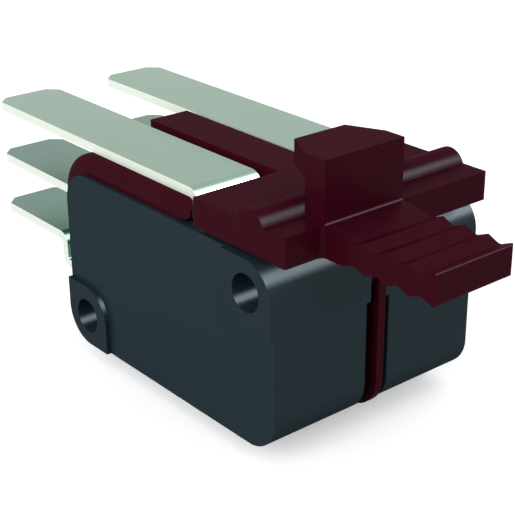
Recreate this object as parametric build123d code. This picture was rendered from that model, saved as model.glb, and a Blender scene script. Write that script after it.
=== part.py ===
from build123d import *
import math
import os

# Auxiliary contact block: two snap switches side by side under one moulded carrier.
# All sizes are in millimetres. +X points to the finger tab, +Z up. The origin lies on
# the axis of the lower mounting bore, midway between the two switches.

# Snap switch body
case_length = 27.8
case_height = 15.75
case_wall = 1.2
cover_thickness = 1.2
case_corner_radius = 3.0
front_corner_radius = 2.8
pad_height = 0.41
pad_radius = 2.85
switch_gap = 1.62

# Mounting bores
bore_radius = 1.55
bore_inset_x = 2.8
bore_inset_z = 2.725

# Terminals
strip_thickness = 0.8
tab_width = 6.3
terminal_side_room = 0.31
tab_reach = 14.15
tip_chamfer = 1.0
bend_radius = 0.25
bend_share = 0.48
inner_strip_width = 4.4
inner_strip_overrun = 1.6
no_tab_height = 12.77
nc_tab_height = 7.75
nc_entry_height = 5.27
nc_drop_distance = 3.43
no_drop_distance = 2.2
com_leg_setback = 1.72
com_shelf_height = 9.4
com_foot_width = 2.4
com_foot_overhang = 0.6

# Contacts and snap blade
contact_distance = 7.0
contact_gap = 1.0
fixed_head_radius = 1.3
fixed_head_height = 0.9
moving_head_radius = 1.2
moving_head_height = 0.7
moving_shank_radius = 0.6
blade_thickness = 0.18
blade_width = 4.6
blade_end_radius = 1.6
anchor_inset = 6.8
anchor_clearance = 0.2
heel_bar_length = 0.9
window_width = 3.0
window_start = 2.2
window_length = 5.8
tongue_width = 2.2
tongue_rise = 2.5
tongue_bow = 0.55
tongue_gap = 0.25

# Plunger
plunger_inset = 11.9
plunger_radius = 1.5
running_clearance = 0.05
plunger_projection = 1.5
plunger_collar_radius = 2.3
plunger_collar_height = 0.8
plunger_post_radius = 1.0
plunger_top_clearance = 1.2
plunger_tip_chamfer = 0.4

# Carrier band over the terminals
band_side_inset = 0.39
floor_thickness = 1.65
band_edge_round = 0.9
band_front_upper_round = 0.4
band_front_lower_round = 0.35
band_ramp_length = 1.15
band_ramp_height = 0.6
slot_end_wall = 0.25
lip_thickness = 1.1
lip_drop = 4.34
lip_outer_radius = 4.1
terminal_clearance = 0.1
rail_width = 4.0
rail_height = 1.05
rail_start = 0.83

# Carrier shoulder plate with its bead
plate_length = 10.57
plate_side_inset = 0.11
plate_overhang = 1.04
plate_gap = 0.28
slit_width = 0.9
plate_rear_round = 0.3
bead_radius = 1.55
bead_crest = 1.0

# Snap hook on the plate
hook_width = 7.83
hook_far_overhang = 0.17
hook_neck_length = 2.1
hook_neck_height = 3.0
hook_head_height = 1.95
hook_step = 0.11
hook_reach = 2.83
hook_point_near = 1.45
hook_point_far = 1.37
hook_far_slope = 3.0

# Finger tab
tab_underside_drop = 0.03
ridge_pitch = 2.13
ridge_depth = 0.45
ridge_count = 4
first_valley = 3.2
valley_round = 0.5
underside_flat = 2.1
end_flat = 0.2
tab_root_round = 0.4
tab_end_round = 0.18
hook_foot_round = 0.3

# Web between the switches
web_thickness = 0.75
web_overhang = 0.2
web_corner_radius = 3.0

# How close two places are when an edge is looked up by where it lies
tolerance = 0.01

# Places that follow from the sizes
case_width = case_wall + tab_width + 2 * terminal_side_room + cover_thickness
switch_pitch = case_width + 2 * pad_height + switch_gap
case_side = switch_pitch / 2 + case_width / 2
band_width = 2 * (case_side - band_side_inset)
plate_width = 2 * (case_side - plate_side_inset)
switch_rear = -bore_inset_x
switch_front = switch_rear + case_length
switch_bottom = -bore_inset_z
switch_top = switch_bottom + case_height
upper_bore_x = switch_front - bore_inset_x
upper_bore_z = switch_top - bore_inset_z
mouth_y = case_width / 2 - cover_thickness
bores = [(0, 0), (upper_bore_x, upper_bore_z)]

floor_top = switch_top + floor_thickness
plate_top = floor_top + rail_height
plate_bottom = switch_top + plate_gap
plate_front = switch_front + plate_overhang
plate_rear = plate_front - plate_length
band_front = plate_rear - slit_width
web_far_y = switch_pitch / 2 - case_width / 2 - pad_height
web_near_y = web_far_y - web_thickness

nc_strip_top = switch_bottom + nc_entry_height + strip_thickness / 2
blade_bottom = nc_strip_top + fixed_head_height + moving_head_height
blade_top = blade_bottom + blade_thickness
no_contact_face = blade_top + moving_head_height + contact_gap
no_strip_bottom = no_contact_face + fixed_head_height
contact_x = switch_rear + contact_distance
inner_strip_end_x = contact_x + inner_strip_overrun
anchor_x = switch_front - anchor_inset
com_leg_x = plate_rear - com_leg_setback
plunger_x = switch_front - plunger_inset
tab_tip_x = switch_rear - tab_reach


def across(profile, y_low, y_high):
    """Solid between two Y positions, with its profile drawn in X and Z."""
    placed = Plane.XZ.offset(-y_low) * profile
    return extrude(placed, amount=y_high - y_low, dir=(0, 1, 0))


def upright(profile, z_low, z_high):
    """Solid between two heights, with its profile drawn in X and Y."""
    return extrude(Pos(0, 0, z_low) * profile, amount=z_high - z_low, dir=(0, 0, 1))


def rectangle(first, second):
    """Rectangle between two opposite corners."""
    width = abs(second[0] - first[0])
    height = abs(second[1] - first[1])
    return Pos((first[0] + second[0]) / 2, (first[1] + second[1]) / 2) * Rectangle(width, height)


def case_outline():
    """Side outline of a switch, with a smaller radius at the front top corner."""
    outline = rectangle((switch_rear, switch_bottom), (switch_front, switch_top))
    by_reach = outline.vertices().sort_by(lambda corner: corner.X + corner.Y)
    outline = fillet(by_reach[:-1], case_corner_radius)
    front_top = outline.vertices().sort_by(lambda corner: corner.X + corner.Y)[-1]
    return fillet(front_top, front_corner_radius)


def corner_pads():
    """Both raised corners: each bore's circle drawn out to the two edges nearest to it."""
    pads = Sketch()
    for (x, z), (edge_x, edge_z) in zip(bores, [(switch_rear, switch_bottom), (switch_front, switch_top)]):
        inward_x = math.copysign(pad_radius, x - edge_x)
        inward_z = math.copysign(pad_radius, z - edge_z)
        pads += Pos(x, z) * Circle(pad_radius)
        pads += rectangle((edge_x, edge_z), (x, z + inward_z))
        pads += rectangle((edge_x, edge_z), (x + inward_x, z))
    return pads & case_outline()


def bore_profile():
    """The two mounting holes."""
    holes = Sketch()
    for x, z in bores:
        holes += Pos(x, z) * Circle(bore_radius)
    return holes


def bent_strip(route):
    """Side profile of a strip that turns at right angles along its centre line."""
    points = [Vector(x, z) for x, z in route]
    shortest = min((end - start).length for start, end in zip(points[1:], points[2:]))
    inner_radius = min(bend_radius, (shortest - strip_thickness) * bend_share)
    ways = [(end - start).normalized() for start, end in zip(points, points[1:])]
    normals = [Vector(-way.Y, way.X) for way in ways]
    sides = []
    for side in (1, -1):
        half = side * strip_thickness / 2
        corners = [points[0] + normals[0] * half]
        radii = []
        for point, before, after in zip(points[1:-1], range(len(ways)), range(1, len(ways))):
            corners.append(point + (normals[before] + normals[after]) * half)
            turn = ways[before].X * ways[after].Y - ways[before].Y * ways[after].X
            radii.append(inner_radius if turn * side > 0 else inner_radius + strip_thickness)
        corners.append(points[-1] + normals[-1] * half)
        sides.append((corners, radii))
    (left, left_radii), (right, right_radii) = sides
    edges = [
        FilletPolyline(*left, radius=left_radii),
        Line(left[-1], right[-1]),
        FilletPolyline(*right, radius=right_radii),
        Line(right[0], left[0]),
    ]
    return make_face(Curve() + edges)


def side_cuts(x_low, x_high, z_low, z_high, width_left):
    """What is cut off both sides of a strip to leave a narrower one."""
    cut = rectangle((x_low, z_low), (x_high, z_high))
    return [
        across(cut, width_left / 2, tab_width),
        across(cut, -tab_width, -width_left / 2),
    ]


def chamfer_tip(terminal):
    """Cuts the two corners of the tab's free end."""
    tip_edges = terminal.edges().filter_by(Axis.Z).group_by(Axis.X)[0]
    return chamfer(tip_edges, length=tip_chamfer)


def no_route():
    """Normally open terminal: straight in through the rear wall, then down one step."""
    tab_z = switch_bottom + no_tab_height
    inner_z = no_strip_bottom + strip_thickness / 2
    drop_x = switch_rear + no_drop_distance
    return [(tab_tip_x, tab_z), (drop_x, tab_z), (drop_x, inner_z), (inner_strip_end_x, inner_z)]


def nc_route():
    """Normally closed terminal: down one step outside, then in just over the lower bore."""
    tab_z = switch_bottom + nc_tab_height
    inner_z = switch_bottom + nc_entry_height
    drop_x = switch_rear - nc_drop_distance
    return [(tab_tip_x, tab_z), (drop_x, tab_z), (drop_x, inner_z), (inner_strip_end_x, inner_z)]


def com_route():
    """Common terminal: along the carrier's floor, down into the case and on to the blade."""
    tab_z = floor_top + strip_thickness / 2
    shelf_z = switch_bottom + com_shelf_height
    foot_z = blade_bottom - com_foot_overhang
    return [
        (tab_tip_x, tab_z),
        (com_leg_x, tab_z),
        (com_leg_x, shelf_z),
        (anchor_x, shelf_z),
        (anchor_x, foot_z),
    ]


def contact_terminal(route):
    """Terminal with a narrower inner end that carries its contact."""
    terminal = chamfer_tip(across(bent_strip(route), -tab_width / 2, tab_width / 2))
    inner_x, inner_z = route[-1]
    low, high = inner_z - strip_thickness, inner_z + strip_thickness
    return terminal - side_cuts(pad_radius, inner_x, low, high, inner_strip_width)


def make_com_terminal():
    """Common terminal, with a narrow foot that the blade hooks over."""
    route = com_route()
    terminal = chamfer_tip(across(bent_strip(route), -tab_width / 2, tab_width / 2))
    below_shelf = route[2][1] - strip_thickness / 2
    foot_rear = anchor_x - strip_thickness
    terminal -= side_cuts(foot_rear, anchor_x + strip_thickness, route[-1][1], below_shelf, com_foot_width)
    return terminal


def terminal_slots():
    """Openings in the case walls, the size of each terminal where it passes through."""
    slots = []
    half = strip_thickness / 2
    no_z = switch_bottom + no_tab_height
    nc_z = switch_bottom + nc_entry_height
    for z, end_x in ((no_z, switch_rear + no_drop_distance), (nc_z, pad_radius)):
        slots.append(rectangle((switch_rear, z - half), (end_x, z + half)))
    slots.append(rectangle((com_leg_x - half, switch_top - case_wall), (com_leg_x + half, switch_top)))
    return [across(slot, -tab_width / 2, tab_width / 2) for slot in slots]


def make_case():
    """Switch case: a tray open to +Y, solid round both bores, with raised corners outside."""
    outer_y = -case_width / 2
    pads = corner_pads()
    outline = case_outline()
    case = across(outline, outer_y, mouth_y) + across(pads, outer_y - pad_height, outer_y)
    cavity = offset(outline, amount=-case_wall) - pads
    case -= across(cavity, outer_y + case_wall, mouth_y)
    case -= across(bore_profile(), outer_y - pad_height, mouth_y)
    case -= terminal_slots()
    guide = Cylinder(plunger_radius + running_clearance, case_wall)
    return case - Pos(plunger_x, 0, switch_bottom + case_wall / 2) * guide


def make_cover():
    """Switch cover: a full plate that closes the case, with the same raised corners."""
    outer_y = case_width / 2
    cover = across(case_outline(), mouth_y, outer_y) + across(corner_pads(), outer_y, outer_y + pad_height)
    return cover - across(bore_profile(), mouth_y, outer_y + pad_height)


def make_plunger():
    """Pin plunger: a pin out of the case, a collar that stops it and a post for the blade."""
    collar_z = switch_bottom + case_wall
    post_top = blade_bottom - plunger_top_clearance
    tip_z = switch_bottom - plunger_projection
    pin = upright(Circle(plunger_radius), tip_z, collar_z)
    pin = chamfer(pin.edges().group_by(Axis.Z)[0], plunger_tip_chamfer)
    collar = upright(Circle(plunger_collar_radius), collar_z, collar_z + plunger_collar_height)
    post = upright(Circle(plunger_post_radius), collar_z + plunger_collar_height, post_top)
    return Pos(plunger_x, 0, 0) * (pin + collar + post)


def make_nc_contact():
    """Lower fixed contact, a button welded on the normally closed strip."""
    button = upright(Circle(fixed_head_radius), nc_strip_top, nc_strip_top + fixed_head_height)
    return Pos(contact_x, 0, 0) * button


def make_no_contact():
    """Upper fixed contact, a button welded under the normally open strip."""
    return Pos(contact_x, 0, 0) * upright(Circle(fixed_head_radius), no_contact_face, no_strip_bottom)


def make_moving_contact():
    """Two flat heads on one shank through the blade's end."""
    head = Circle(moving_head_radius)
    lower = upright(head, blade_bottom - moving_head_height, blade_bottom)
    shank = upright(Circle(moving_shank_radius), blade_bottom, blade_top)
    upper = upright(head, blade_top, blade_top + moving_head_height)
    return Pos(contact_x, 0, 0) * (lower + shank + upper)


def bowed_tongue():
    """Tongue pressed out of the blade's window, bowed up to the heel of the common terminal."""
    start = Vector(contact_x + window_start, blade_bottom + blade_thickness / 2)
    end = Vector(com_leg_x - strip_thickness / 2 - tongue_gap, start.Y + tongue_rise)
    chord = end - start
    bow = Vector(-chord.Y, chord.X).normalized() * tongue_bow
    middle_line = ThreePointArc(start, (start + end) / 2 + bow, end)
    centre = Vector(middle_line.arc_center)
    arcs = []
    for side in (1, -1):
        scale = 1 + side * blade_thickness / (2 * middle_line.radius)
        arcs.append([centre + (point - centre) * scale for point in (start, middle_line @ 0.5, end)])
    outer, inner = arcs
    edges = [
        ThreePointArc(*outer),
        Line(outer[-1], inner[-1]),
        ThreePointArc(*inner),
        Line(inner[0], outer[0]),
    ]
    return across(make_face(Curve() + edges), -tongue_width / 2, tongue_width / 2)


def make_blade():
    """Snap blade: a flat spring with a window, a bowed tongue and a slot for its anchor."""
    half_slot = strip_thickness / 2 + anchor_clearance
    heel_x = anchor_x + half_slot + heel_bar_length
    half_width = blade_width / 2
    plan = rectangle((contact_x - blade_end_radius, -half_width), (heel_x, half_width))
    plan = fillet(plan.vertices().group_by(Axis.X)[0], blade_end_radius)
    window_x = contact_x + window_start
    plan -= rectangle((window_x, -window_width / 2), (window_x + window_length, window_width / 2))
    slot_width = com_foot_width + 2 * anchor_clearance
    plan -= Pos(anchor_x, 0) * Rectangle(2 * half_slot, slot_width)
    plan -= Pos(contact_x, 0) * Circle(moving_shank_radius)
    return upright(plan, blade_bottom, blade_top) + bowed_tongue()


def band_profile():
    """Side profile of the band: floor, rear corner and the lip that hooks over the switches."""
    outer_x = switch_rear - lip_thickness
    lip_bottom = switch_top - lip_drop
    outer_centre_z = floor_top - lip_outer_radius
    outer_round_x = outer_x + lip_outer_radius
    inner_round_x = switch_rear + case_corner_radius
    inner_round_z = switch_top - case_corner_radius
    ramp_x = band_front - band_ramp_length
    edges = [
        Polyline(
            (switch_rear, inner_round_z),
            (switch_rear, lip_bottom),
            (outer_x, lip_bottom),
            (outer_x, outer_centre_z),
        ),
        RadiusArc((outer_x, outer_centre_z), (outer_round_x, floor_top), lip_outer_radius),
        Polyline(
            (outer_round_x, floor_top),
            (band_front, floor_top),
            (band_front, switch_top + band_ramp_height),
            (ramp_x, switch_top),
            (inner_round_x, switch_top),
        ),
        RadiusArc((inner_round_x, switch_top), (switch_rear, inner_round_z), -case_corner_radius),
    ]
    return make_face(Curve() + edges)


def round_front_end(profile):
    """The same side profile with both corners of its front end rounded."""
    front_corners = profile.vertices().group_by(Axis.X)[-1].sort_by(Axis.Y)
    rounded = fillet(front_corners[-1], band_front_upper_round)
    front_corners = rounded.vertices().group_by(Axis.X)[-1].sort_by(Axis.Y)
    return fillet(front_corners[0], band_front_lower_round)


def make_band():
    """Band with rounded outer edges, notches for the middle terminals and slots for the upper ones."""
    half = band_width / 2
    band = across(band_profile(), -half, half)
    outer_edges = [edge for edge in band.edges() if edge_is_outside(edge)]
    band = fillet(outer_edges, band_edge_round) & across(round_front_end(band_profile()), -half, half)
    lip_bottom = switch_top - lip_drop
    notch_top = switch_bottom + no_tab_height + strip_thickness / 2 + terminal_clearance
    notch = rectangle((switch_rear - lip_thickness, lip_bottom), (switch_rear + lip_thickness, notch_top))
    reach = tab_width / 2 + terminal_clearance
    for side in (-1, 1):
        y = side * switch_pitch / 2
        band -= across(notch, y - reach, y + reach)
        band -= upright(leg_slot(side, reach), switch_top, floor_top)
    return band


def leg_slot(side, reach):
    """Plan of the slot for an upper terminal's leg, flared to the outside at the band's front end."""
    y = side * switch_pitch / 2
    leg_rear = com_leg_x - strip_thickness / 2
    slot_rear = leg_rear - bend_radius - terminal_clearance
    return make_face(Polyline(
        (slot_rear, y - side * reach),
        (band_front, y - side * reach),
        (band_front, side * (band_width / 2 - slot_end_wall)),
        (leg_rear, y + side * reach),
        (slot_rear, y + side * reach),
        close=True,
    ))


def edge_is_outside(edge):
    """True for the outer edges along both sides of the band: its top, its rear corner and the lip's back."""
    on_side = abs(abs(edge.center().Y) - band_width / 2) < tolerance
    on_top = abs(edge.center().Z - floor_top) < tolerance
    on_back = abs(edge.center().X - (switch_rear - lip_thickness)) < tolerance
    on_corner = edge.geom_type == GeomType.CIRCLE and abs(edge.radius - lip_outer_radius) < tolerance
    return on_side and (on_top or on_back or on_corner)


def make_plate():
    """Shoulder plate with the round bead across it, over the upper mounting bore."""
    profile = rectangle((plate_rear, plate_bottom), (plate_front, plate_top))
    rear_bottom = profile.vertices().sort_by(lambda corner: corner.X + corner.Y)[0]
    profile = fillet(rear_bottom, plate_rear_round)
    profile += Pos(upper_bore_x, plate_top + bead_crest - bead_radius) * Circle(bead_radius)
    return across(profile, -plate_width / 2, plate_width / 2)


def make_rail():
    """Centre rail between the upper terminals, run into the shoulder plate."""
    rail = rectangle((switch_rear + rail_start, switch_top), (plate_rear, plate_top))
    return across(rail, -rail_width / 2, rail_width / 2)


def make_web():
    """Thin wall between the switches, with spacer bosses round both bores."""
    bottom = switch_bottom - web_overhang
    profile = rectangle((switch_rear, bottom), (switch_front, plate_bottom))
    lower_corners = profile.vertices().group_by(Axis.Y)[0]
    profile = fillet(lower_corners, web_corner_radius)
    web = across(profile, web_near_y, web_far_y)
    for x, z in bores:
        web += across(Pos(x, z) * Circle(pad_radius), -web_far_y, web_near_y)
    return web - across(bore_profile(), -web_far_y, web_far_y)


def make_hook():
    """Snap hook: an upright neck and a head that reaches back to a blunt point."""
    front = plate_front + hook_step
    far = web_far_y + hook_far_overhang
    near = far - hook_width
    neck_rear = front - hook_neck_length
    point_x = neck_rear - hook_reach
    neck_top = plate_top + hook_neck_height
    neck = upright(rectangle((neck_rear, near), (front, far)), plate_top, neck_top)
    plan = make_face(Polyline(
        (front, near),
        (neck_rear, near),
        (point_x, near + hook_point_near),
        (point_x, far - hook_point_far),
        (point_x + hook_far_slope, far),
        (front, far),
        close=True,
    ))
    foot = rectangle((front, plate_top), (front + hook_foot_round, plate_top + hook_foot_round))
    foot -= Pos(front + hook_foot_round, plate_top + hook_foot_round) * Circle(hook_foot_round)
    return neck + across(foot, near, far) + upright(plan, neck_top, neck_top + hook_head_height)


def ridges(first_x, level, sign):
    """Run of ridges between rounded valleys, along one side of the tab."""
    points = []
    for index in range(ridge_count):
        x = first_x + index * ridge_pitch
        points.append((x, level - sign * ridge_depth))
        points.append((x + ridge_pitch / 2, level))
    return points


def make_finger_tab():
    """Corrugated finger tab in front of the plate, ending square on its last ridge."""
    far = web_far_y + hook_far_overhang
    near = far - hook_width
    bottom = plate_bottom - tab_underside_drop
    top_points = ridges(plate_front + first_valley, plate_top, 1)
    bottom_points = ridges(plate_front + first_valley, bottom, -1)
    end_x = top_points[-1][0] + end_flat
    top_start = (plate_front + hook_step + hook_foot_round, plate_top)
    outline = make_face(Curve() + [
        TangentArc(top_start, top_points[0], tangent=(1, 0)),
        Polyline(
            *top_points,
            (end_x, plate_top),
            (end_x, bottom),
            *reversed(bottom_points),
            (plate_front + underside_flat, bottom),
            (plate_front, bottom),
            (plate_front, plate_top),
            top_start,
        ),
    ])
    valleys = [
        corner for corner in outline.vertices()
        if bottom + ridge_depth / 2 < corner.Y < plate_top - ridge_depth / 2
    ]
    outline = fillet(valleys, valley_round)
    plan = rectangle((plate_rear, -plate_width / 2), (plate_front, plate_width / 2))
    plan += rectangle((plate_front, near), (end_x, far))
    roots = [
        corner for corner in plan.vertices()
        if abs(corner.X - plate_front) < tolerance and abs(corner.Y) < plate_width / 2 - tolerance
    ]
    side_low = near - tab_root_round
    side_high = far + tab_root_round
    plan = fillet(roots, tab_root_round) & rectangle((plate_front, side_low), (end_x, side_high))
    tab = across(outline, side_low, side_high) & upright(plan, bottom, plate_top)
    front_edges = tab.faces().sort_by(Axis.X)[-1].edges()
    return fillet(front_edges, tab_end_round)


def make_carrier():
    """The whole carrier moulding."""
    return make_band() + make_rail() + make_plate() + make_web() + make_hook() + make_finger_tab()


def write(name, solid):
    """Writes one node as a STEP file."""
    export_step(solid, f"parts/{name}.step")


switch_pieces = {
    "case": make_case(),
    "cover": make_cover(),
    "plunger": make_plunger(),
    "com_terminal": make_com_terminal(),
    "no_terminal": contact_terminal(no_route()),
    "nc_terminal": contact_terminal(nc_route()),
    "no_contact": make_no_contact(),
    "nc_contact": make_nc_contact(),
    "blade": make_blade(),
    "moving_contact": make_moving_contact(),
}

os.makedirs("parts", exist_ok=True)
write("carrier", make_carrier())
for side, side_y in (("right", -switch_pitch / 2), ("left", switch_pitch / 2)):
    for piece_name, piece in switch_pieces.items():
        write(f"{side}_{piece_name}", Pos(0, side_y, 0) * piece)
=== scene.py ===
import math

import bpy
from mathutils import Euler, Matrix, Vector


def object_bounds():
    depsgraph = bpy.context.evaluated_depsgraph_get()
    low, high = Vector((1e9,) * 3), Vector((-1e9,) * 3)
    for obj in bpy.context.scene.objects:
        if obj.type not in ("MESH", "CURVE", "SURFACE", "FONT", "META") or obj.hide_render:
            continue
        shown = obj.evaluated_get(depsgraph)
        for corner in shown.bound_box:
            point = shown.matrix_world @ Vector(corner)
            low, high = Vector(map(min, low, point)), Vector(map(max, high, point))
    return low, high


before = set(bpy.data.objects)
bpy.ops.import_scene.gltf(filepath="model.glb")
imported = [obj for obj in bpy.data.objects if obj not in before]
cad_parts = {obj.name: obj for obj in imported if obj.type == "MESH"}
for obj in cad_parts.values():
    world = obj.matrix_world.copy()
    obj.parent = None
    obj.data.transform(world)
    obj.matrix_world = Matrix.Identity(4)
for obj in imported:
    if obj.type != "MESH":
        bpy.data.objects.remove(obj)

# Auxiliary contact block: the finishes of its mouldings, terminals and contacts, on a pale stage.
# Places are in metres, in the frame of the solids. Pattern sizes are given in millimetres.

bl_info = {
    "name": "Auxiliary contact block",
    "version": (1, 0, 0),
    "blender": (4, 5, 0),
    "location": "View3D > Sidebar > Contact block",
    "description": "Dresses the solids of an auxiliary contact block and sets them on a pale stage",
    "category": "Object",
}

MM = 0.001
CAD_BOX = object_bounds()
SIDES = ("right", "left")
WHITE = "#FFFFFF"

# A hex colour: where each channel's two digits start, their base, and a full channel
CHANNEL_STARTS = (1, 3, 5)
HEX_BASE = 16
FULL_CHANNEL = 255

# The sRGB curve: its straight foot up to the knee, and the power curve above it
SRGB_KNEE = 0.04045
SRGB_SLOPE = 12.92
SRGB_OFFSET = 0.055
SRGB_POWER = 2.4

# Sockets that are reached by number: those of a colour mix, and the first ones of other nodes
MIX_SHARE = 0
MIX_DARK = 6
MIX_LIGHT = 7
MIX_RESULT = 2
FIRST = 0
SECOND = 1
THIRD = 2

# Values that every noise shares: the middle range of its values, and how rough its finer octaves are
NOISE_LOW = 0.3
NOISE_HIGH = 0.7
NOISE_ROUGHNESS = 0.55

# How many finer octaves each pattern has
CLOUD_DETAIL = 2.0
GRAIN_DETAIL = 3.0
LINE_DETAIL = 2.0

# Lowest and highest refractive index that a skin may have
LOWEST_INDEX = 1.0
HIGHEST_INDEX = 4.0

# A face counts as a sheared edge where its normal leans this far to the side of the strip
EDGE_LEAN = 0.3

# Share of the floor's colour that is left in the darker clouds of its paper
PAPER_SHADE = 0.995

# The surround reaches its rear and its front strength where its direction has these X parts
SURROUND_REAR_X = -0.7
SURROUND_FRONT_X = 0.5

# Camera: sensor width in millimetres, and the near and far ends of what it sees in metres
SENSOR_WIDTH = 36.0
CLIP_RANGE = (0.001, 10.0)

# What a lamp shows in
MATT = "matt"
GLOSS = "gloss"
BOTH = "both"

# Soft lamps: name, way towards the lamp, colour, strength, width in degrees, what it shows in.
# The side and front ones are the main light, the rear one opens up the shaded sides, and the last
# one draws the lines of light on the rounds.
LAMPS = (
    ("side_softbox", (0.15, -0.88, 0.42), WHITE, 1.8, 40.0, BOTH),
    ("front_softbox", (0.90, 0.35, 0.25), WHITE, 0.45, 60.0, BOTH),
    ("rear_softbox", (-0.70, 0.65, 0.30), WHITE, 0.9, 60.0, MATT),
    ("glint_softbox", (0.526, 0.58, 0.624), "#E0F3FF", 9.5, 32.0, GLOSS),
)


def linear(hex_colour):
    """Linear colour, with alpha, of an sRGB hex value."""
    channels = []
    for start in CHANNEL_STARTS:
        value = int(hex_colour[start:start + 2], HEX_BASE) / FULL_CHANNEL
        if value <= SRGB_KNEE:
            channels.append(value / SRGB_SLOPE)
        else:
            channels.append(((value + SRGB_OFFSET) / (1 + SRGB_OFFSET)) ** SRGB_POWER)
    return (*channels, 1.0)


def scaled(hue, amount):
    """The same colour, lighter or darker by a factor."""
    return (*[min(1.0, channel * amount) for channel in hue[:3]], 1.0)


def colour(hex_colour, name, description):
    """Colour property whose default is an sRGB hex value."""
    return bpy.props.FloatVectorProperty(
        name=name, description=description, subtype="COLOR", size=4, min=0.0, max=1.0,
        default=linear(hex_colour),
    )


def length(value_mm, name, description):
    """Length property in metres whose default is given in millimetres."""
    return bpy.props.FloatProperty(
        name=name, description=description, subtype="DISTANCE", unit="LENGTH", min=0.0, precision=6,
        default=value_mm * MM,
    )


def factor(value, name, description):
    """Factor property between 0 and 1."""
    return bpy.props.FloatProperty(
        name=name, description=description, subtype="FACTOR", min=0.0, max=1.0, default=value,
    )


def angle(value_degrees, name, description):
    """Angle property in radians whose default is given in degrees."""
    return bpy.props.FloatProperty(
        name=name, description=description, subtype="ANGLE", default=math.radians(value_degrees),
    )


def refractive_index(value, name, description):
    """Property for how strongly a glossy skin bends light and throws it back."""
    return bpy.props.FloatProperty(
        name=name, description=description, min=LOWEST_INDEX, max=HIGHEST_INDEX, default=value,
    )


def add_node(tree, kind, settings=None, links=None):
    """Adds a shader node: settings name properties or sockets, links name sockets and their sources."""
    node = tree.nodes.new(kind)
    for name, value in (settings or {}).items():
        if isinstance(name, str) and hasattr(node, name):
            setattr(node, name, value)
        else:
            node.inputs[name].default_value = value
    for name, source in (links or {}).items():
        tree.links.new(source, node.inputs[name])
    return node


def new_material(name):
    """Empty node material, ready for a shader."""
    material = bpy.data.materials.new(name)
    material.use_nodes = True
    material.node_tree.nodes.clear()
    return material


def dress(node_names, material):
    """Puts a material on the named solids."""
    for name in node_names:
        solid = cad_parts[name]
        solid.data.materials.clear()
        solid.data.materials.append(material)


def clouded(tree, place, finish, hue):
    """A colour with faint clouds in it, darker and lighter by the finish's cloud depth."""
    cloud = add_node(
        tree, "ShaderNodeTexNoise",
        {"Scale": 1 / finish.cloud_size, "Detail": CLOUD_DETAIL, "Roughness": NOISE_ROUGHNESS},
        {"Vector": place},
    )
    share = add_node(
        tree, "ShaderNodeMapRange",
        {"From Min": NOISE_LOW, "From Max": NOISE_HIGH},
        {"Value": cloud.outputs["Fac"]},
    )
    tint = add_node(
        tree, "ShaderNodeMix",
        {
            "data_type": "RGBA",
            MIX_DARK: scaled(hue, 1 - finish.cloud_depth),
            MIX_LIGHT: scaled(hue, 1 + finish.cloud_depth),
        },
        {MIX_SHARE: share.outputs["Result"]},
    )
    return tint.outputs[MIX_RESULT]


def moulded_plastic(name, finish):
    """Moulding out of a spark-eroded tool: faint flow clouds, an even grain and a thin satin skin."""
    material = new_material(name)
    tree = material.node_tree
    place = add_node(tree, "ShaderNodeTexCoord").outputs["Object"]
    grain = add_node(
        tree, "ShaderNodeTexNoise",
        {"Scale": 1 / finish.grain_size, "Detail": GRAIN_DETAIL, "Roughness": NOISE_ROUGHNESS},
        {"Vector": place},
    )
    bump = add_node(
        tree, "ShaderNodeBump",
        {"Strength": 1.0, "Distance": finish.grain_depth},
        {"Height": grain.outputs["Fac"]},
    )
    shader = add_node(
        tree, "ShaderNodeBsdfPrincipled",
        {
            "Roughness": finish.roughness,
            "Specular IOR Level": 0.0,
            "Coat Weight": finish.skin,
            "Coat Roughness": finish.roughness,
            "Coat IOR": finish.skin_index,
        },
        {
            "Base Color": clouded(tree, place, finish, finish.colour),
            "Normal": bump.outputs["Normal"],
            "Coat Normal": bump.outputs["Normal"],
        },
    )
    add_node(tree, "ShaderNodeOutputMaterial", None, {"Surface": shader.outputs["BSDF"]})
    return material


def stamped_strip(name, finish, face_colour):
    """Strip metal: faces with clouds and fine rolling lines, and plainer sheared edges at its sides."""
    material = new_material(name)
    tree = material.node_tree
    place = add_node(tree, "ShaderNodeTexCoord").outputs["Object"]
    along = add_node(
        tree, "ShaderNodeMapping", {"Scale": (finish.line_stretch, 1.0, 1.0)}, {"Vector": place},
    )
    lines = add_node(
        tree, "ShaderNodeTexNoise",
        {"Scale": 1 / finish.line_width, "Detail": LINE_DETAIL, "Roughness": NOISE_ROUGHNESS},
        {"Vector": along.outputs["Vector"]},
    )
    surface = add_node(tree, "ShaderNodeNewGeometry")
    facing = add_node(
        tree, "ShaderNodeSeparateXYZ", None, {"Vector": surface.outputs["True Normal"]},
    )
    sideways = add_node(
        tree, "ShaderNodeMath", {"operation": "ABSOLUTE"}, {FIRST: facing.outputs["Y"]},
    )
    is_edge = add_node(
        tree, "ShaderNodeMath",
        {"operation": "GREATER_THAN", SECOND: EDGE_LEAN},
        {FIRST: sideways.outputs["Value"]},
    )
    # Faces that lean sideways get the edge colour; on the terminals its pale cream is partly a painted
    # reflection of the white floor.
    tint = add_node(
        tree, "ShaderNodeMix",
        {"data_type": "RGBA", MIX_LIGHT: finish.edge_colour},
        {MIX_SHARE: is_edge.outputs["Value"], MIX_DARK: clouded(tree, place, finish, face_colour)},
    )
    metal = add_node(
        tree, "ShaderNodeMapRange",
        {"To Min": 1.0, "To Max": finish.edge_metal},
        {"Value": is_edge.outputs["Value"]},
    )
    bump = add_node(
        tree, "ShaderNodeBump",
        {"Strength": 1.0, "Distance": finish.line_depth},
        {"Height": lines.outputs["Fac"]},
    )
    shader = add_node(
        tree, "ShaderNodeBsdfPrincipled",
        {"Roughness": finish.roughness},
        {
            "Base Color": tint.outputs[MIX_RESULT],
            "Metallic": metal.outputs["Result"],
            "Normal": bump.outputs["Normal"],
        },
    )
    add_node(tree, "ShaderNodeOutputMaterial", None, {"Surface": shader.outputs["BSDF"]})
    return material


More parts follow.
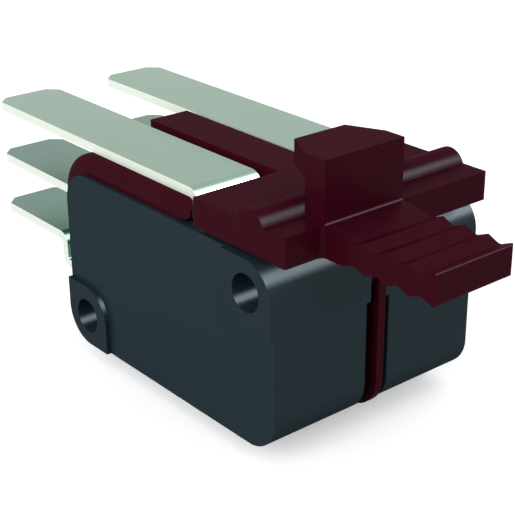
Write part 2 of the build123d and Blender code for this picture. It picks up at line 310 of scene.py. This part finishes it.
class MouldedSkin:
    """What the three plastics share."""

    cloud_depth: factor(0.05, "Cloud depth", "How far the clouds lighten and darken the colour")
    cloud_size: length(6.0, "Cloud size", "Size of the faint clouds left by the flow of the melt")
    # The tool's grain is about 0.03 mm. It is drawn coarser so that it shows.
    grain_size: length(0.16, "Grain size", "Size of the spark-eroded grain")
    grain_depth: length(0.001, "Grain depth", "Depth of the spark-eroded grain")
    roughness: factor(0.3, "Roughness", "Roughness of the moulded surface")


class CarrierFinish(MouldedSkin, bpy.types.PropertyGroup):
    """Finish of the carrier."""

    colour: colour("#350714", "Colour", "Colour of the carrier")
    skin: factor(0.06, "Skin", "Share of the surface that a glossy skin covers")
    skin_index: refractive_index(1.5, "Skin index", "Refractive index of the glossy skin")


class CaseFinish(MouldedSkin, bpy.types.PropertyGroup):
    """Finish of the switch cases and covers."""

    colour: colour("#1B2A30", "Colour", "Colour of the cases and covers")
    skin: factor(0.04, "Skin", "Share of the surface that a glossy skin covers")
    skin_index: refractive_index(3.0, "Skin index", "Refractive index of the glossy skin")


class PlungerFinish(MouldedSkin, bpy.types.PropertyGroup):
    """Finish of the plungers."""

    colour: colour("#7A1F1A", "Colour", "Colour of the plungers")
    skin: factor(0.3, "Skin", "Share of the surface that a glossy skin covers")
    skin_index: refractive_index(1.5, "Skin index", "Refractive index of the glossy skin")


class StripSkin:
    """What the strip metals share."""

    cloud_depth: factor(0.02, "Cloud depth", "How far the clouds lighten and darken the colour")
    cloud_size: length(3.0, "Cloud size", "Size of the surface's clouds")
    # Rolling lines are about 0.02 mm apart. They are drawn coarser so that they show.
    line_width: length(0.12, "Line width", "Spacing of the rolling lines")
    line_stretch: factor(0.04, "Line stretch", "Share of the line spacing over its length")
    line_depth: length(0.0003, "Line depth", "Depth of the rolling lines")
    roughness: factor(0.3, "Roughness", "Roughness of the surface")


class TerminalFinish(StripSkin, bpy.types.PropertyGroup):
    """Finish of the six terminals."""

    colour: colour("#8BA594", "Colour", "Colour of the tin plating")
    # Painted shade: a darker copy of the plating colour for the lower terminals, for the shade the upper
    # ones cast on them.
    lower_shaded_colour: colour("#638375", "Lower colour", "Colour of the lower terminals' duller plating")
    # Pale cream of the terminals' sheared edges: partly their own matt colour, partly a painted
    # reflection of the white floor.
    edge_colour: colour("#E3E9D9", "Edge colour", "Colour of the sheared edges")
    edge_metal: factor(0.15, "Edge metal", "How far the matt sheared edges reflect as metal")


class SilverFinish(StripSkin, bpy.types.PropertyGroup):
    """Finish of the contacts."""

    colour: colour("#DADAD4", "Colour", "Colour of the contact faces")
    edge_colour: colour("#DADAD4", "Edge colour", "Colour of the contacts' sides")
    edge_metal: factor(1.0, "Edge metal", "How far the sides reflect as metal")


class BladeFinish(StripSkin, bpy.types.PropertyGroup):
    """Finish of the snap blades."""

    colour: colour("#C08A5A", "Colour", "Colour of the blade")
    edge_colour: colour("#D0A070", "Edge colour", "Colour of the sheared edges")
    edge_metal: factor(0.6, "Edge metal", "How far the sheared edges reflect as metal")


class StageSettings(bpy.types.PropertyGroup):
    """Floor, surround and camera."""

    floor_colour: colour("#F4F4F4", "Floor colour", "Colour of the plain floor")
    floor_size: length(4000.0, "Floor size", "Side of the square floor")
    paper_size: length(2.0, "Paper size", "Size of the faint clouds in the floor's paper")
    floor_lift: factor(0.35, "Floor lift", "How much white the floor adds where it is seen")
    bounce_colour: colour("#747474", "Bounce colour", "Grey of the floor in the light it throws back")
    surround_colour: colour("#F3F6FA", "Surround colour", "Colour of the soft light all round")
    surround_rear: factor(0.75, "Surround at the rear", "Strength of the surround behind the block")
    surround_front: factor(0.95, "Surround at the front", "Strength of the surround before the block")
    camera_place: bpy.props.FloatVectorProperty(
        name="Camera place", description="Where the camera stands",
        subtype="TRANSLATION", unit="LENGTH", precision=6, default=(0.088436, -0.064188, 0.051032),
    )
    camera_turn: angle(50.58, "Camera turn", "Turn of the camera from the Y axis")
    camera_tilt: angle(24.03, "Camera tilt", "How far the camera looks down")
    camera_roll: angle(-0.434, "Camera roll", "Roll of the camera about its line of sight")
    focal_length: bpy.props.FloatProperty(
        name="Focal length", description="Focal length in millimetres", min=1.0, default=90.33,
    )


class BLOCK_OT_carrier(bpy.types.Operator):
    """Dress the carrier in moulded maroon nylon"""

    bl_idname = "block.carrier"
    bl_label = "Dress the carrier"

    def execute(self, context):
        # Glass-filled nylon, moulded in a spark-eroded tool: deep even colour, satin, with soft lines
        # of light on its rounds and hardly any gloss on its flat faces.
        material = moulded_plastic("moulded_maroon_nylon", context.scene.block_carrier)
        dress(["carrier"], material)
        return {"FINISHED"}


class BLOCK_OT_cases(bpy.types.Operator):
    """Dress the switch cases and covers in moulded slate polyester"""

    bl_idname = "block.cases"
    bl_label = "Dress the switch cases"

    def execute(self, context):
        # Filled polyester, moulded in the same kind of tool: dark slate and harder than the nylon, so
        # that its rounds catch a wider and brighter band of light. Its skin covers less of it and has a
        # higher index than the resin's own 1.5, which keeps that band and leaves the rims dark.
        material = moulded_plastic("moulded_slate_polyester", context.scene.block_case)
        dress([f"{side}_{part}" for side in SIDES for part in ("case", "cover")], material)
        return {"FINISHED"}


class BLOCK_OT_plungers(bpy.types.Operator):
    """Dress the plungers in moulded red acetal"""

    bl_idname = "block.plungers"
    bl_label = "Dress the plungers"

    def execute(self, context):
        # Acetal, moulded in red as working pins are: smooth, slippery and a little waxy.
        material = moulded_plastic("moulded_red_acetal", context.scene.block_plunger)
        dress([f"{side}_plunger" for side in SIDES], material)
        return {"FINISHED"}


class BLOCK_OT_terminals(bpy.types.Operator):
    """Dress the six terminals in tin-plated brass strip"""

    bl_idname = "block.terminals"
    bl_label = "Dress the terminals"

    def execute(self, context):
        # Brass strip, tin-plated before it is stamped and bent: a soft grey-green sheen with faint
        # rolling lines on the faces, and matt sheared edges, whose pale cream is partly their own colour
        # and partly a painted reflection of the white floor. The lower four terminals get a darker copy
        # of the plating colour: painted shade, for the shade that the upper ones cast on them.
        finish = context.scene.block_terminal
        upper = stamped_strip("bright_tin_plated_brass_strip", finish, finish.colour)
        lower = stamped_strip("shaded_tin_plated_brass_strip", finish, finish.lower_shaded_colour)
        dress([f"{side}_com_terminal" for side in SIDES], upper)
        dress([f"{side}_{part}_terminal" for side in SIDES for part in ("no", "nc")], lower)
        return {"FINISHED"}


class BLOCK_OT_contacts(bpy.types.Operator):
    """Dress the contacts in headed silver and the snap blades in rolled beryllium copper"""

    bl_idname = "block.contacts"
    bl_label = "Dress the contacts and blades"

    def execute(self, context):
        # Fine silver, cold-headed into rivets: pale and soft-shining.
        finish = context.scene.block_silver
        silver = stamped_strip("headed_contact_silver", finish, finish.colour)
        parts = ("no_contact", "nc_contact", "moving_contact")
        dress([f"{side}_{part}" for side in SIDES for part in parts], silver)
        # Spring copper strip, rolled hard and stamped: warm brown with lines along the blade.
        finish = context.scene.block_blade
        copper = stamped_strip("rolled_beryllium_copper", finish, finish.colour)
        dress([f"{side}_blade" for side in SIDES], copper)
        return {"FINISHED"}


class BLOCK_OT_stage(bpy.types.Operator):
    """Lay the pale floor, set the light and place the camera"""

    bl_idname = "block.stage"
    bl_label = "Set the stage"

    def execute(self, context):
        settings = context.scene.block_stage
        add_floor(context.scene, settings)
        add_surround(context.scene, settings)
        add_lamps(context.scene)
        add_camera(context.scene, settings)
        context.scene.view_settings.view_transform = "Standard"
        return {"FINISHED"}


def seen_share(tree):
    """1 on rays that see the background: those from the camera, off gloss and through glass."""
    path = add_node(tree, "ShaderNodeLightPath")
    direct_or_glossy = add_node(
        tree, "ShaderNodeMath", {"operation": "ADD"},
        {FIRST: path.outputs["Is Camera Ray"], SECOND: path.outputs["Is Glossy Ray"]},
    )
    any_of_them = add_node(
        tree, "ShaderNodeMath", {"operation": "ADD", "use_clamp": True},
        {FIRST: direct_or_glossy.outputs["Value"], SECOND: path.outputs["Is Transmission Ray"]},
    )
    return any_of_them.outputs["Value"]


def add_floor(scene, settings):
    """Flat floor under the plunger tips: white where it is seen, except where a soft shadow falls."""
    half = settings.floor_size / 2
    # The floor lies at the lowest Z of the solids.
    height = CAD_BOX[0][2]
    corners = [
        (-half, -half, height),
        (half, -half, height),
        (half, half, height),
        (-half, half, height),
    ]
    mesh = bpy.data.meshes.new("floor")
    mesh.from_pydata(corners, [], [(0, 1, 2, 3)])
    floor = bpy.data.objects.new("floor", mesh)
    scene.collection.objects.link(floor)
    # Matt white background paper: plain, without gloss.
    material = new_material("matt_white_paper")
    tree = material.node_tree
    place = add_node(tree, "ShaderNodeTexCoord").outputs["Object"]
    paper = add_node(tree, "ShaderNodeTexNoise", {"Scale": 1 / settings.paper_size}, {"Vector": place})
    tint = add_node(
        tree, "ShaderNodeMix",
        {
            "data_type": "RGBA",
            MIX_DARK: scaled(settings.floor_colour, PAPER_SHADE),
            MIX_LIGHT: settings.floor_colour,
        },
        {MIX_SHARE: paper.outputs["Fac"]},
    )
    lit = add_node(tree, "ShaderNodeBsdfDiffuse", None, {"Color": tint.outputs[MIX_RESULT]})
    glow = add_node(
        tree, "ShaderNodeEmission", {"Color": linear(WHITE), "Strength": settings.floor_lift},
    )
    seen = add_node(
        tree, "ShaderNodeAddShader", None,
        {FIRST: lit.outputs["BSDF"], SECOND: glow.outputs["Emission"]},
    )
    unseen = add_node(tree, "ShaderNodeBsdfDiffuse", {"Color": settings.bounce_colour})
    surface = add_node(
        tree, "ShaderNodeMixShader", None,
        {FIRST: seen_share(tree), SECOND: unseen.outputs["BSDF"], THIRD: seen.outputs["Shader"]},
    )
    add_node(tree, "ShaderNodeOutputMaterial", None, {"Surface": surface.outputs["Shader"]})
    mesh.materials.append(material)


def add_surround(scene, settings):
    """Soft light all round, a little stronger before the block, and white where the surround is seen."""
    world = bpy.data.worlds.new("soft_surround")
    scene.world = world
    world.use_nodes = True
    tree = world.node_tree
    tree.nodes.clear()
    place = add_node(tree, "ShaderNodeTexCoord")
    way = add_node(tree, "ShaderNodeSeparateXYZ", None, {"Vector": place.outputs["Generated"]})
    strength = add_node(
        tree, "ShaderNodeMapRange",
        {
            "From Min": SURROUND_REAR_X,
            "From Max": SURROUND_FRONT_X,
            "To Min": settings.surround_rear,
            "To Max": settings.surround_front,
        },
        {"Value": way.outputs["X"]},
    )
    light = add_node(
        tree, "ShaderNodeBackground",
        {"Color": settings.surround_colour},
        {"Strength": strength.outputs["Result"]},
    )
    white = add_node(tree, "ShaderNodeBackground", {"Color": linear(WHITE), "Strength": 1.0})
    surround = add_node(
        tree, "ShaderNodeMixShader", None,
        {
            FIRST: seen_share(tree),
            SECOND: light.outputs["Background"],
            THIRD: white.outputs["Background"],
        },
    )
    add_node(tree, "ShaderNodeOutputWorld", None, {"Surface": surround.outputs["Shader"]})


def add_lamps(scene):
    """Wide suns, so that the floor is lit evenly. The one that shows in gloss alone throws no shadow."""
    for name, way, hex_colour, strength, width, shows_in in LAMPS:
        lamp = bpy.data.lights.new(name, "SUN")
        lamp.color = linear(hex_colour)[:3]
        lamp.energy = strength
        lamp.angle = math.radians(width)
        lamp.use_shadow = shows_in != GLOSS
        lamp_object = bpy.data.objects.new(name, lamp)
        lamp_object.rotation_euler = Vector(way).to_track_quat("Z", "Y").to_euler()
        lamp_object.visible_diffuse = shows_in != GLOSS
        lamp_object.visible_glossy = shows_in != MATT
        scene.collection.objects.link(lamp_object)


def add_camera(scene, settings):
    """Camera at the viewing angle of the picture."""
    camera = bpy.data.cameras.new("camera")
    camera.lens = settings.focal_length
    camera.sensor_width = SENSOR_WIDTH
    camera.clip_start, camera.clip_end = CLIP_RANGE
    camera_object = bpy.data.objects.new("camera", camera)
    turn = Euler((math.pi / 2 - settings.camera_tilt, 0.0, settings.camera_turn), "XYZ").to_matrix()
    roll = Matrix.Rotation(settings.camera_roll, 3, "Z")
    camera_object.matrix_world = Matrix.Translation(settings.camera_place) @ (turn @ roll).to_4x4()
    scene.collection.objects.link(camera_object)
    scene.camera = camera_object


class BLOCK_PT_panel(bpy.types.Panel):
    """Lists the steps that dress the block and set the stage"""

    bl_label = "Contact block"
    bl_idname = "BLOCK_PT_panel"
    bl_space_type = "VIEW_3D"
    bl_region_type = "UI"
    bl_category = "Contact block"

    def draw(self, context):
        for operator in OPERATORS:
            self.layout.operator(operator.bl_idname)


OPERATORS = (
    BLOCK_OT_carrier,
    BLOCK_OT_cases,
    BLOCK_OT_plungers,
    BLOCK_OT_terminals,
    BLOCK_OT_contacts,
    BLOCK_OT_stage,
)
SETTINGS = {
    "block_carrier": CarrierFinish,
    "block_case": CaseFinish,
    "block_plunger": PlungerFinish,
    "block_terminal": TerminalFinish,
    "block_silver": SilverFinish,
    "block_blade": BladeFinish,
    "block_stage": StageSettings,
}
CLASSES = (*SETTINGS.values(), *OPERATORS, BLOCK_PT_panel)


def register():
    """Registers the classes and hangs their settings on the scene."""
    for item in CLASSES:
        bpy.utils.register_class(item)
    for name, group in SETTINGS.items():
        setattr(bpy.types.Scene, name, bpy.props.PointerProperty(type=group))


def unregister():
    """Takes the settings and the classes away again."""
    for name in SETTINGS:
        delattr(bpy.types.Scene, name)
    for item in reversed(CLASSES):
        bpy.utils.unregister_class(item)


def main():
    """Registers the add-on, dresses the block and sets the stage."""
    register()
    bpy.ops.block.carrier()
    bpy.ops.block.cases()
    bpy.ops.block.plungers()
    bpy.ops.block.terminals()
    bpy.ops.block.contacts()
    bpy.ops.block.stage()


if __name__ == "__main__":
    main()
